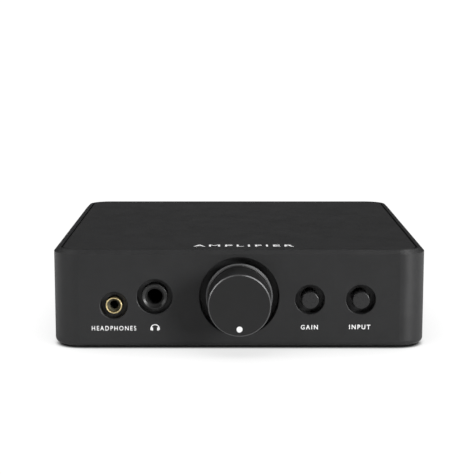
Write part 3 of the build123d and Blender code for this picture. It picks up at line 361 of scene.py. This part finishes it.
def place(obj, origin, right, up):
    """Stands a flat drawing, made in its own XY, on a face: right and up are the face's directions."""
    r, u = Vector(right).normalized(), Vector(up).normalized()
    n = r.cross(u)
    obj.matrix_world = Matrix(((r.x, u.x, n.x, origin[0]), (r.y, u.y, n.y, origin[1]), (r.z, u.z, n.z, origin[2]), (0, 0, 0, 1)))


def bake_to_frame(obj):
    """Puts the object's place into its mesh."""
    bpy.context.view_layer.update()
    obj.data.transform(obj.matrix_world)
    obj.matrix_world = Matrix.Identity(4)


def legend(name, text, centre, right, up, cap, width, body="enclosure", bold=0.0):
    """A printed word of the given cap height and overall width, centred on a point of a face."""
    c = bpy.data.curves.new(name + "_curve", "FONT")
    c.body = text
    c.align_x, c.align_y = "CENTER", "CENTER"
    c.size = 1.0
    c.space_character = 1.35
    c.resolution_u = 6
    c.offset = bold
    c.extrude = 0.02
    tmp = bpy.data.objects.new(name + "_tmp", c)
    bpy.context.scene.collection.objects.link(tmp)
    bpy.context.view_layer.update()
    me = bpy.data.meshes.new_from_object(tmp.evaluated_get(bpy.context.evaluated_depsgraph_get()))
    bpy.data.objects.remove(tmp)
    xs = [v.co.x for v in me.vertices]
    ys = [v.co.y for v in me.vertices]
    zs = [v.co.z for v in me.vertices]
    sx, sy = width / (max(xs) - min(xs)), cap / (max(ys) - min(ys))
    cx, cy = (max(xs) + min(xs)) / 2, (max(ys) + min(ys)) / 2
    for v in me.vertices:
        t = (v.co.z - min(zs)) / (max(zs) - min(zs))
        v.co = ((v.co.x - cx) * sx, (v.co.y - cy) * sy, -0.01 * MM + t * INK_T)
    bm = bmesh.new()
    bm.from_mesh(me)
    bmesh.ops.remove_doubles(bm, verts=bm.verts, dist=1e-7)
    bmesh.ops.recalc_face_normals(bm, faces=bm.faces)
    bm.to_mesh(me)
    bm.free()
    me.materials.clear()
    me.materials.append(ink)
    o = bpy.data.objects.new(name, me)
    bpy.context.scene.collection.objects.link(o)
    place(o, centre, right, up)
    bake_to_frame(o)
    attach(o, body)
    return o


FR, FU = (1, 0, 0), (0, 0, 1)
legend("legend_gain", "GAIN", (gain_c.x - 0.17 * MM, FRONT, TOP - 31.68 * MM), FR, FU, 1.9 * MM, 7.0 * MM, bold=0.022)
legend("legend_input", "INPUT", (input_c.x - 0.32 * MM, FRONT, TOP - 31.6 * MM), FR, FU, 1.9 * MM, 8.7 * MM, bold=0.022)
legend("legend_headphones", "HEADPHONES", (small_c.x - 0.06 * MM, FRONT, TOP - 32.1 * MM), FR, FU, 1.9 * MM, 18.1 * MM, bold=0.006)
legend("legend_top", "AMPLIFIER", (1.9 * MM, FRONT + 12.5 * MM, COVER_TOP), (1, 0, 0), (0, 1, 0), 4.4 * MM, 41.5 * MM, bold=0.012)


def headphone_icon():
    """Head band, two yokes and two ear pads as one flat printed drawing."""
    bm = bmesh.new()
    t = INK_T
    R, r, n = 1.92, 1.5, 28

    def prism(points):
        lower = [bm.verts.new((x * MM, y * MM, -0.01 * MM)) for x, y in points]
        upper = [bm.verts.new((x * MM, y * MM, t)) for x, y in points]
        bm.faces.new(list(reversed(lower)))
        bm.faces.new(upper)
        k = len(points)
        for i in range(k):
            bm.faces.new((lower[i], lower[(i + 1) % k], upper[(i + 1) % k], upper[i]))

    # the band, as a closed outline of even width with straight ends
    outer = [(R * math.cos(a), 0.0 + R * 0.98 * math.sin(a)) for a in [math.pi * i / n for i in range(n + 1)]]
    inner = [(r * math.cos(a), 0.0 + r * 0.98 * math.sin(a)) for a in [math.pi * (n - i) / n for i in range(n + 1)]]
    band = outer + [(-R, -0.55)] + [(-r, -0.55)] + inner + [(r, -0.55)] + [(R, -0.55)]
    prism([(x, y - 0.42) for x, y in band])
    for s in (-1, 1):
        pad = []
        for cx, cy, a0 in ((1.32, 0.2, 0), (0.98, 0.2, 90), (0.98, -0.82, 180), (1.32, -0.82, 270)):
            for i in range(6):
                a = math.radians(a0 + 90 * i / 5)
                pad.append((s * (cx + 0.16 * math.cos(a)), cy - 0.22 + 0.16 * math.sin(a)))
        prism(pad if s > 0 else list(reversed(pad)))
    bmesh.ops.recalc_face_normals(bm, faces=bm.faces)
    me = bpy.data.meshes.new("legend_headphone_icon")
    bm.to_mesh(me)
    bm.free()
    me.materials.append(ink)
    o = bpy.data.objects.new("legend_headphone_icon", me)
    bpy.context.scene.collection.objects.link(o)
    place(o, (large_c.x + 0.11 * MM, FRONT, TOP - 31.89 * MM), FR, FU)
    bake_to_frame(o)
    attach(o, "enclosure")


headphone_icon()

# rear legends, generic words over their sockets
BR, BU = (-1, 0, 0), (0, 0, 1)
power_c = sum(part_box("power_inlet"), Vector()) / 2
line_c = sum(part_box("line_in_jack_ring"), Vector()) / 2
rin_c = sum(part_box("rca_input_housing"), Vector()) / 2
rout_c = sum(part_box("rca_output_housing"), Vector()) / 2
legend("legend_power", "POWER", (power_c.x, REAR, 31.5 * MM), BR, BU, 2.0 * MM, 9.0 * MM)
legend("legend_line_in", "LINE IN", (line_c.x, REAR, 31.5 * MM), BR, BU, 2.0 * MM, 9.6 * MM)
legend("legend_rca_in", "INPUT", (rin_c.x, REAR, 32.6 * MM), BR, BU, 2.0 * MM, 9.0 * MM)
legend("legend_rca_out", "OUTPUT", (rout_c.x, REAR, 32.6 * MM), BR, BU, 2.0 * MM, 10.6 * MM)
rca_lo, rca_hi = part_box("rca_barrels")
for nm, cx in (("in", rin_c.x), ("out", rout_c.x)):
    legend("legend_left_" + nm, "L", (cx + 7 * MM, REAR, 13.2 * MM), BR, BU, 2.0 * MM, 1.3 * MM)
    legend("legend_right_" + nm, "R", (cx - 7 * MM, REAR, 13.2 * MM), BR, BU, 2.0 * MM, 1.6 * MM)

# ---------------------------------------------------------------------- stage
me = bpy.data.meshes.new("floor")
bm = bmesh.new()
bmesh.ops.create_grid(bm, x_segments=8, y_segments=8, size=9.0)
bm.to_mesh(me)
bm.free()
floor = bpy.data.objects.new("floor", me)
bpy.context.scene.collection.objects.link(floor)
fm, fnt, fb = new_mat("floor_paper")
fv = coords(fnt)
fn = noise(fnt, fv, 40.0, 3.0)
fnt.links.new(mix_colour(fnt, fn, (0.66, 0.66, 0.66), (0.7, 0.7, 0.7)), fb.inputs["Base Color"])
fb.inputs["Roughness"].default_value = 0.9
fb.inputs["Specular IOR Level"].default_value = 0.1


def occlusion(nt, distance, lo, hi, out_lo, out_hi):
    """Contact shade: how open a point of the floor is within a distance, remapped."""
    ao = nt.nodes.new("ShaderNodeAmbientOcclusion")
    ao.samples = 16
    ao.inputs["Distance"].default_value = distance
    return remap(nt, ao.outputs["AO"], lo, hi, out_lo, out_hi)


# an evenly lit white sweep: pure white in the open, a thin contact shade at the feet and a faint wide one around
near = occlusion(fnt, 7 * MM, 0.18, 0.62, 0.012, 1.0)
wide = occlusion(fnt, 60 * MM, 0.35, 0.75, 0.8, 1.04)
fe = fnt.nodes.new("ShaderNodeEmission")
fe.inputs["Color"].default_value = (1, 1, 1, 1)
fnt.links.new(maths(fnt, "MULTIPLY", near, wide), fe.inputs["Strength"])
flp = fnt.nodes.new("ShaderNodeLightPath")
fmix = fnt.nodes.new("ShaderNodeMixShader")
fout = [n for n in fnt.nodes if n.type == "OUTPUT_MATERIAL"][0]
fnt.links.new(flp.outputs["Is Camera Ray"], fmix.inputs["Fac"])
fnt.links.new(fb.outputs["BSDF"], fmix.inputs[1])
fnt.links.new(fe.outputs["Emission"], fmix.inputs[2])
fnt.links.new(fmix.outputs[0], fout.inputs["Surface"])
me.materials.append(fm)

world = bpy.data.worlds.new("studio")
bpy.context.scene.world = world
world.use_nodes = True
wt = world.node_tree
wt.nodes.clear()
wo = wt.nodes.new("ShaderNodeOutputWorld")
wa = wt.nodes.new("ShaderNodeBackground")
wa.inputs["Color"].default_value = (1, 1, 1, 1)
wa.inputs["Strength"].default_value = 0.0
wb = wt.nodes.new("ShaderNodeBackground")
wb.inputs["Color"].default_value = (1, 1, 1, 1)
wb.inputs["Strength"].default_value = 1.1
lp = wt.nodes.new("ShaderNodeLightPath")
wm = wt.nodes.new("ShaderNodeMixShader")
wt.links.new(lp.outputs["Is Camera Ray"], wm.inputs["Fac"])
wt.links.new(wa.outputs[0], wm.inputs[1])
wt.links.new(wb.outputs[0], wm.inputs[2])
wt.links.new(wm.outputs[0], wo.inputs["Surface"])


def sun(name, strength, angle, direction):
    """direction points from the light towards the object."""
    d = bpy.data.lights.new(name, "SUN")
    d.energy = strength
    d.angle = math.radians(angle)
    o = bpy.data.objects.new(name, d)
    o.rotation_euler = Vector(direction).to_track_quat("-Z", "Y").to_euler()
    bpy.context.scene.collection.objects.link(o)
    return o


def softbox(name, power, size, at, aim):
    d = bpy.data.lights.new(name, "AREA")
    d.shape = "RECTANGLE"
    d.size, d.size_y = size
    d.energy = power
    o = bpy.data.objects.new(name, d)
    o.location = at
    o.rotation_euler = (Vector(aim) - Vector(at)).to_track_quat("-Z", "Y").to_euler()
    bpy.context.scene.collection.objects.link(o)
    return o


sun("overhead", 0.12, 60, (0.0, 0.17365, -0.98481))
sun("right_low", 3.0, 22, (-0.73823, 0.64173, -0.20791))
sun("right_up", 0.9, 26, (-0.77831, 0.12327, -0.61566))
sun("right_corner", 0.65, 25, (-0.44116, 0.16057, -0.88295))
sun("right_side", 0.85, 30, (-0.93661, -0.16515, -0.30902))
sun("left_side", 1.4, 30, (0.93661, -0.16515, -0.30902))
sun("left_up", 0.6, 26, (0.77831, 0.12327, -0.61566))
sun("left_corner", 0.15, 25, (0.44116, 0.16057, -0.88295))
sun("left_low", 0.36, 22, (0.72690, 0.65451, -0.20791))
sun("back_up", 0.19, 60, (0.0, -0.64279, -0.76604))
